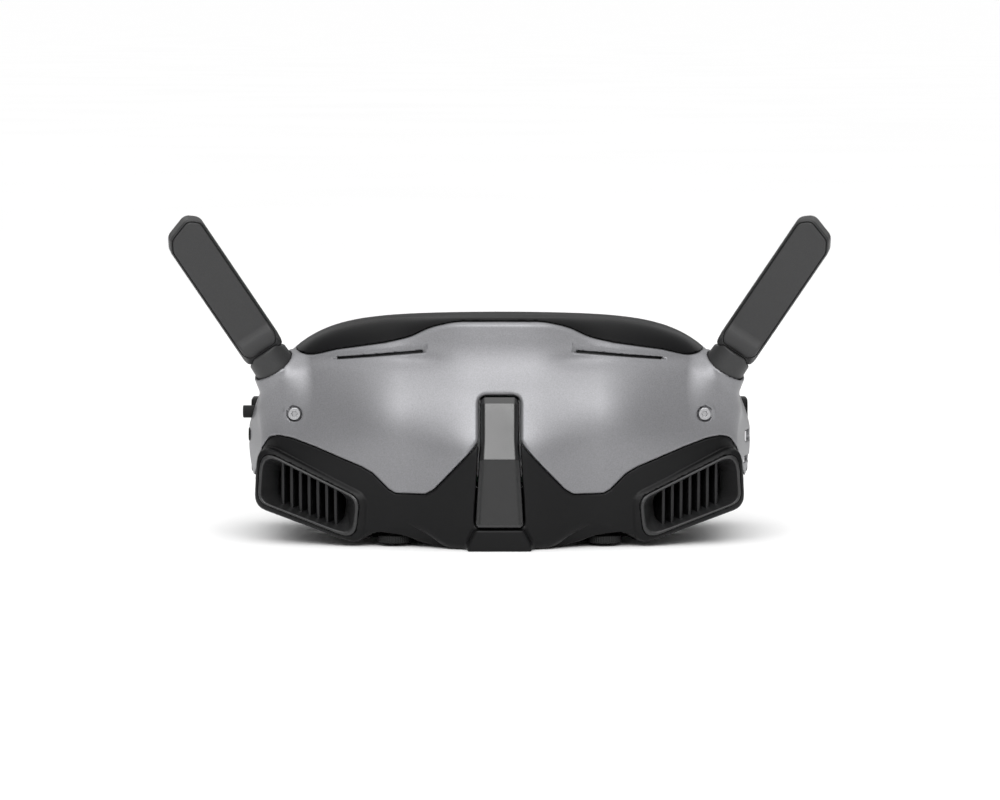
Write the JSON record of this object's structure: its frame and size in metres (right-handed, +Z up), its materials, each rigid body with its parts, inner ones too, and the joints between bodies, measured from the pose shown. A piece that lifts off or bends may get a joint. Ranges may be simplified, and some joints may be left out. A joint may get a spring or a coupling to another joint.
{
  "type": "fpv goggles",
  "caption": "Compact video goggles with a grey front shell, black lower cowl with corner intakes, foam face pad and fold-back paddle antennas.",
  "frame": {"origin": "on the surface that the goggles stand on, midway between the antenna tips, midway between chin and temple foam", "axes": "+X to the wearer's left, -Y to the front (away from the face), +Z up"},
  "size_m": [0.2068, 0.104, 0.1034],
  "materials": {
    "shell_grey": "satin metallic grey",
    "cowl_black": "satin black",
    "housing_black": "satin black",
    "tongue_satin": "satin",
    "antenna_black": "fine-textured matte",
    "frame_black": "matte",
    "key_rubber": "matte",
    "foam": "soft knit over foam",
    "lens_glass": "polished, coated",
    "display_glass": "gloss",
    "screw_steel": "satin",
    "rod_steel": "polished",
    "board_green": "solder mask",
    "sink_aluminium": "bead blasted"
  },
  "bodies": {
    "housing": {"back_switch": "frame_black", "card_socket": "rod_steel", "center_tongue": "tongue_satin", "eye_panel": "frame_black", "face_foam": "foam", "face_frame": "frame_black", "fan_housing": "frame_black", "front_screws": "screw_steel", "front_shell": "shell_grey", "heat_sink": "sink_aluminium", "joystick_base": "frame_black", "key_board": "board_green", "left_antenna_collar": "antenna_black", "left_brow_duct": "frame_black", "left_headband_lug": "housing_black", "left_hinge_pin": "screw_steel", "left_vent_bezel": "cowl_black", "left_vent_grille": "cowl_black", "lower_cowl": "cowl_black", "lower_guide_rod": "rod_steel", "main_board": "board_green", "optics_frame": "frame_black", "panel_screws": "screw_steel", "proximity_window": "display_glass", "rear_housing": "housing_black", "right_antenna_collar": "antenna_black", "right_brow_duct": "frame_black", "right_headband_lug": "housing_black", "right_hinge_pin": "screw_steel", "right_vent_bezel": "cowl_black", "right_vent_grille": "cowl_black", "socket_board": "board_green", "upper_guide_rod": "rod_steel", "usb_c_socket": "rod_steel"},
    "left_antenna": {"left_antenna_shell": "antenna_black", "left_antenna_cover": "antenna_black", "left_antenna_board": "board_green"},
    "right_antenna": {"right_antenna_shell": "antenna_black", "right_antenna_cover": "antenna_black", "right_antenna_board": "board_green"},
    "left_carriage": {"left_lens_carriage": "frame_black", "left_display_module": "display_glass"},
    "right_carriage": {"right_lens_carriage": "frame_black", "right_display_module": "display_glass"},
    "left_barrel": {"left_lens_barrel": "frame_black", "left_eye_lens": "lens_glass"},
    "right_barrel": {"right_lens_barrel": "frame_black", "right_eye_lens": "lens_glass"},
    "left_knob": {"left_diopter_knob": "key_rubber"},
    "right_knob": {"right_diopter_knob": "key_rubber"},
    "stick_gimbal": {"joystick_gimbal": "frame_black"},
    "stick_stem": {"joystick_stem": "frame_black"},
    "stick_cap": {"joystick_cap": "key_rubber"},
    "back_key": {"back_button": "key_rubber"},
    "fan": {"fan_rotor": "frame_black"}
  },
  "joints": [
    {"name": "left_antenna_fold", "type": "hinge", "parent": "housing", "child": "left_antenna", "pos_m": [0.0762, -0.022, 0.0635], "axis": [-0.8335, 0.0434, 0.5509], "range_deg": [0, 104]},
    {"name": "left_eye_slide", "type": "slide", "parent": "housing", "child": "left_carriage", "axis": [1, 0, 0], "range_m": [-0.003, 0.003]},
    {"name": "left_knob_turn", "type": "hinge", "parent": "left_carriage", "child": "left_knob", "pos_m": [0.033, -0.033, 0.006], "axis": [0, 0, 1], "range_deg": [-57.3, 57.3]},
    {"name": "left_focus_slide", "type": "slide", "parent": "left_carriage", "child": "left_barrel", "axis": [0, 1, 0], "range_m": [-0.002, 0.002]},
    {"name": "right_antenna_fold", "type": "hinge", "parent": "housing", "child": "right_antenna", "pos_m": [-0.0762, -0.022, 0.0635], "axis": [-0.8335, -0.0434, -0.5509], "range_deg": [0, 104]},
    {"name": "right_eye_slide", "type": "slide", "parent": "housing", "child": "right_carriage", "axis": [1, 0, 0], "range_m": [-0.003, 0.003]},
    {"name": "right_knob_turn", "type": "hinge", "parent": "right_carriage", "child": "right_knob", "pos_m": [-0.033, -0.033, 0.006], "axis": [0, 0, 1], "range_deg": [-57.3, 57.3]},
    {"name": "right_focus_slide", "type": "slide", "parent": "right_carriage", "child": "right_barrel", "axis": [0, 1, 0], "range_m": [-0.002, 0.002]},
    {"name": "stick_tilt_level", "type": "hinge", "parent": "housing", "child": "stick_gimbal", "pos_m": [-0.075, 0.002, 0.0392], "axis": [0, 1, 0], "range_deg": [-8, 8], "stiffness_Nm_per_rad": 0.03},
    {"name": "stick_tilt_upright", "type": "hinge", "parent": "stick_gimbal", "child": "stick_stem", "pos_m": [-0.075, 0.002, 0.0392], "axis": [0, 0, 1], "range_deg": [-8, 8], "stiffness_Nm_per_rad": 0.03},
    {"name": "stick_press", "type": "slide", "parent": "stick_stem", "child": "stick_cap", "axis": [1, 0, 0], "range_m": [0, 0.0005], "stiffness_N_per_m": 800},
    {"name": "back_button_press", "type": "slide", "parent": "housing", "child": "back_key", "axis": [1, 0, 0], "range_m": [0, 0.0005], "stiffness_N_per_m": 800},
    {"name": "fan_spin", "type": "hinge", "parent": "housing", "child": "fan", "pos_m": [0, -0.024, 0.036], "axis": [0, 1, 0], "continuous": true}
  ],
  "couplings": [
    {"joint": "left_knob_turn", "follows": "left_focus_slide", "rad_per_m": -500},
    {"joint": "right_knob_turn", "follows": "right_focus_slide", "rad_per_m": 500}
  ]
}
